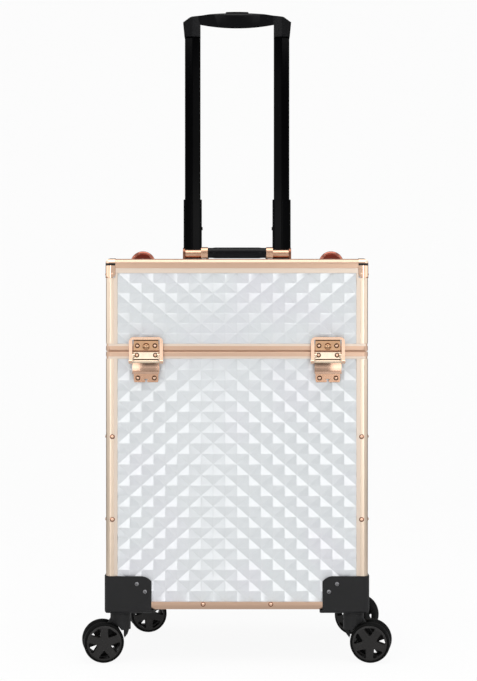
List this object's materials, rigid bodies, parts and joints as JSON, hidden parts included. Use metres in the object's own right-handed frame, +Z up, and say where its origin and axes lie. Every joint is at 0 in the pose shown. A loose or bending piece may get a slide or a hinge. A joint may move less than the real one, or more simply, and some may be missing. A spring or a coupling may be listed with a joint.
{
  "type": "rolling makeup case",
  "caption": "Upright rolling makeup case with diamond-embossed panels in metal edge frames, a lift-off top case with draw latches, a telescopic trolley handle and swivelling twin-wheel casters.",
  "frame": {"origin": "on the floor under the middle of the case", "axes": "+Z up, front with the latches towards -Y, trolley handle towards +Y"},
  "size_m": [0.4058, 0.2789, 0.895],
  "materials": {
    "pearl_panel": "glossy embossed sheet",
    "rose_gold_aluminium": "satin anodised",
    "rose_gold_plate": "polished plating",
    "black_plastic": "fine grain",
    "black_tube": "black anodised",
    "dark_steel": "black plated",
    "lining_cloth": "brushed cloth",
    "wheel_polymer": "moulded"
  },
  "bodies": {
    "body": {"body_front_panel": "pearl_panel", "body_back_panel": "pearl_panel", "body_side_panels": "pearl_panel", "body_bottom_panel": "black_plastic", "body_corner_posts": "rose_gold_aluminium", "body_rim_rails": "rose_gold_aluminium", "body_base_rails": "rose_gold_aluminium", "body_lining": "lining_cloth", "corner_guards": "black_plastic", "guard_screws": "dark_steel", "frame_rivets": "rose_gold_plate", "caster_kingpins": "dark_steel", "latch_bases": "rose_gold_plate", "latch_base_rivets": "rose_gold_plate", "trolley_outer_tubes": "black_tube", "trolley_brackets": "black_plastic", "bracket_screws": "dark_steel"},
    "top_case": {"top_front_panel": "pearl_panel", "top_back_panel": "pearl_panel", "top_side_panels": "pearl_panel", "top_panel": "pearl_panel", "top_corner_posts": "rose_gold_aluminium", "top_edge_rails": "rose_gold_aluminium", "top_rim_rails": "rose_gold_aluminium", "top_lining": "lining_cloth", "top_corner_caps": "rose_gold_plate", "latch_keepers": "rose_gold_plate", "latch_keeper_rivets": "rose_gold_plate", "carry_handle_brackets": "rose_gold_plate", "strap_saddles": "rose_gold_plate"},
    "carry_handle": {"carry_handle_grip": "black_plastic", "carry_handle_arms": "rose_gold_plate"},
    "strap_ring_left": {"strap_ring_left": "rose_gold_plate"},
    "strap_ring_right": {"strap_ring_right": "rose_gold_plate"},
    "latch_lever_left": {"latch_lever_left": "rose_gold_plate"},
    "latch_lever_right": {"latch_lever_right": "rose_gold_plate"},
    "latch_bail_left": {"latch_bail_left": "rose_gold_plate"},
    "latch_bail_right": {"latch_bail_right": "rose_gold_plate"},
    "trolley_middle": {"trolley_middle_tubes": "black_tube", "trolley_lock_nubs": "black_plastic"},
    "trolley_inner": {"trolley_inner_tubes": "black_tube", "trolley_grip": "black_plastic"},
    "trolley_button": {"trolley_button": "black_plastic"},
    "caster_fl": {"caster_fork_fl": "black_plastic", "caster_axle_fl": "dark_steel"},
    "wheel_fl_a": {"wheel_fl_a": "wheel_polymer"},
    "wheel_fl_b": {"wheel_fl_b": "wheel_polymer"},
    "caster_fr": {"caster_fork_fr": "black_plastic", "caster_axle_fr": "dark_steel"},
    "wheel_fr_a": {"wheel_fr_a": "wheel_polymer"},
    "wheel_fr_b": {"wheel_fr_b": "wheel_polymer"},
    "caster_rl": {"caster_fork_rl": "black_plastic", "caster_axle_rl": "dark_steel"},
    "wheel_rl_a": {"wheel_rl_a": "wheel_polymer"},
    "wheel_rl_b": {"wheel_rl_b": "wheel_polymer"},
    "caster_rr": {"caster_fork_rr": "black_plastic", "caster_axle_rr": "dark_steel"},
    "wheel_rr_a": {"wheel_rr_a": "wheel_polymer"},
    "wheel_rr_b": {"wheel_rr_b": "wheel_polymer"}
  },
  "joints": [
    {"name": "top_case_lift", "type": "slide", "parent": "body", "child": "top_case", "axis": [0, 0, 1], "range_m": [0, 0.15]},
    {"name": "carry_handle_fold", "type": "hinge", "parent": "top_case", "child": "carry_handle", "pos_m": [0, 0, 0.5356], "axis": [-1, 0, 0], "range_deg": [0, 90]},
    {"name": "trolley_middle_slide", "type": "slide", "parent": "body", "child": "trolley_middle", "axis": [0, 0, 1], "range_m": [-0.219, 0]},
    {"name": "trolley_inner_slide", "type": "slide", "parent": "trolley_middle", "child": "trolley_inner", "axis": [0, 0, 1], "range_m": [-0.232, 0]},
    {"name": "trolley_button_press", "type": "slide", "parent": "trolley_inner", "child": "trolley_button", "axis": [0, 0, -1], "range_m": [0, 0.003], "stiffness_N_per_m": 400},
    {"name": "strap_ring_left_swing", "type": "hinge", "parent": "top_case", "child": "strap_ring_left", "pos_m": [-0.129, 0, 0.52605], "axis": [0, 1, 0], "range_deg": [0, 180]},
    {"name": "latch_left_lever", "type": "hinge", "parent": "body", "child": "latch_lever_left", "pos_m": [-0.1175, -0.1244, 0.3975], "axis": [-1, 0, 0], "range_deg": [0, 150]},
    {"name": "latch_left_bail", "type": "hinge", "parent": "latch_lever_left", "child": "latch_bail_left", "pos_m": [-0.1175, -0.125, 0.3895], "axis": [-1, 0, 0], "range_deg": [-165, 0]},
    {"name": "strap_ring_right_swing", "type": "hinge", "parent": "top_case", "child": "strap_ring_right", "pos_m": [0.129, 0, 0.52605], "axis": [0, -1, 0], "range_deg": [0, 180]},
    {"name": "latch_right_lever", "type": "hinge", "parent": "body", "child": "latch_lever_right", "pos_m": [0.1175, -0.1244, 0.3975], "axis": [-1, 0, 0], "range_deg": [0, 150]},
    {"name": "latch_right_bail", "type": "hinge", "parent": "latch_lever_right", "child": "latch_bail_right", "pos_m": [0.1175, -0.125, 0.3895], "axis": [-1, 0, 0], "range_deg": [-165, 0]},
    {"name": "caster_fl_swivel", "type": "hinge", "parent": "body", "child": "caster_fl", "pos_m": [-0.152, -0.102, 0.058], "axis": [0, 0, 1], "continuous": true},
    {"name": "wheel_fl_a_spin", "type": "hinge", "parent": "caster_fl", "child": "wheel_fl_a", "pos_m": [-0.17465, -0.10599, 0.026], "axis": [0.1736, -0.9848, 0], "continuous": true},
    {"name": "wheel_fl_b_spin", "type": "hinge", "parent": "caster_fl", "child": "wheel_fl_b", "pos_m": [-0.17465, -0.10599, 0.026], "axis": [0.1736, -0.9848, 0], "continuous": true},
    {"name": "caster_fr_swivel", "type": "hinge", "parent": "body", "child": "caster_fr", "pos_m": [0.152, -0.102, 0.058], "axis": [0, 0, 1], "continuous": true},
    {"name": "wheel_fr_a_spin", "type": "hinge", "parent": "caster_fr", "child": "wheel_fr_a", "pos_m": [0.17465, -0.10599, 0.026], "axis": [0.1736, 0.9848, 0], "continuous": true},
    {"name": "wheel_fr_b_spin", "type": "hinge", "parent": "caster_fr", "child": "wheel_fr_b", "pos_m": [0.17465, -0.10599, 0.026], "axis": [0.1736, 0.9848, 0], "continuous": true},
    {"name": "caster_rl_swivel", "type": "hinge", "parent": "body", "child": "caster_rl", "pos_m": [-0.152, 0.102, 0.058], "axis": [0, 0, 1], "continuous": true},
    {"name": "wheel_rl_a_spin", "type": "hinge", "parent": "caster_rl", "child": "wheel_rl_a", "pos_m": [-0.1295, 0.10678, 0.026], "axis": [-0.2079, 0.9781, 0], "continuous": true},
    {"name": "wheel_rl_b_spin", "type": "hinge", "parent": "caster_rl", "child": "wheel_rl_b", "pos_m": [-0.1295, 0.10678, 0.026], "axis": [-0.2079, 0.9781, 0], "continuous": true},
    {"name": "caster_rr_swivel", "type": "hinge", "parent": "body", "child": "caster_rr", "pos_m": [0.152, 0.102, 0.058], "axis": [0, 0, 1], "continuous": true},
    {"name": "wheel_rr_a_spin", "type": "hinge", "parent": "caster_rr", "child": "wheel_rr_a", "pos_m": [0.17084, 0.08881, 0.026], "axis": [0.5736, 0.8192, 0], "continuous": true},
    {"name": "wheel_rr_b_spin", "type": "hinge", "parent": "caster_rr", "child": "wheel_rr_b", "pos_m": [0.17084, 0.08881, 0.026], "axis": [0.5736, 0.8192, 0], "continuous": true}
  ],
  "couplings": [
    {"joint": "latch_left_bail", "follows": "latch_left_lever", "ratio": -1.1},
    {"joint": "latch_right_bail", "follows": "latch_right_lever", "ratio": -1.1}
  ]
}
